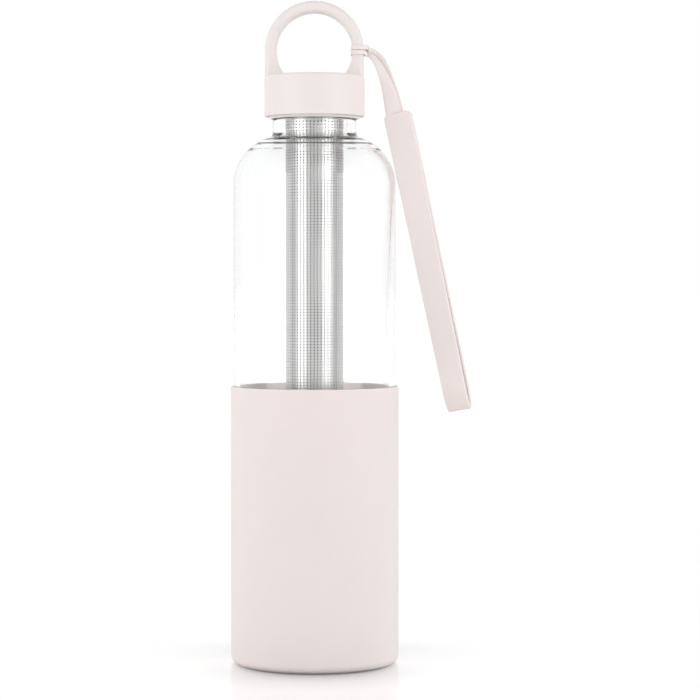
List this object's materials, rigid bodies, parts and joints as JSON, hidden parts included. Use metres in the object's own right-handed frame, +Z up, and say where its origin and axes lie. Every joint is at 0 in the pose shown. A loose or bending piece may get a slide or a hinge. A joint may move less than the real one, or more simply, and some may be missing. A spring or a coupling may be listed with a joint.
{
  "type": "fruit infuser water bottle",
  "caption": "Clear glass bottle in a soft sleeve, with a perforated steel infuser tube, a turn-and-lift lid with a loop handle and a hanging strap.",
  "frame": {"origin": "centre of the sleeve's underside, where the bottle stands", "axes": "+Z up along the bottle, +X towards the strap in the plane of the handle, -Y towards the viewer"},
  "size_m": [0.0982, 0.068, 0.2669],
  "materials": {
    "glass": "polished clear glass",
    "silicone": "matt silicone",
    "steel": "perforated stainless steel",
    "seal": "soft translucent silicone",
    "liner": "moulded polypropylene",
    "lid": "satin moulded polypropylene",
    "strap": "matt silicone"
  },
  "bodies": {
    "bottle": {"glass_bottle": "glass", "silicone_sleeve": "silicone"},
    "infuser": {"infuser_tube": "steel", "infuser_base": "steel", "infuser_rim": "steel", "infuser_seat_ring": "seal"},
    "lid_gasket": {"lid_seal": "seal"},
    "lid": {"lid_shell": "lid", "lid_liner": "liner", "strap_hitch": "strap"},
    "strap": {"strap_strand_front": "strap", "strap_strand_back": "strap", "strap_collar": "strap", "strap_band": "strap"}
  },
  "joints": [
    {"name": "infuser_lift", "type": "slide", "parent": "bottle", "child": "infuser", "axis": [0, 0, 1], "range_m": [0, 0.175]},
    {"name": "lid_lift", "type": "slide", "parent": "infuser", "child": "lid_gasket", "axis": [0, 0, 1], "range_m": [0, 0.06]},
    {"name": "lid_turn", "type": "hinge", "parent": "lid_gasket", "child": "lid", "pos_m": [0, 0, 0.228], "axis": [0, 0, 1], "range_deg": [-60, 0]},
    {"name": "strap_swing", "type": "hinge", "parent": "lid", "child": "strap", "pos_m": [0.0223, 0, 0.2465], "axis": [0, -1, 0], "range_deg": [0, 90]}
  ]
}
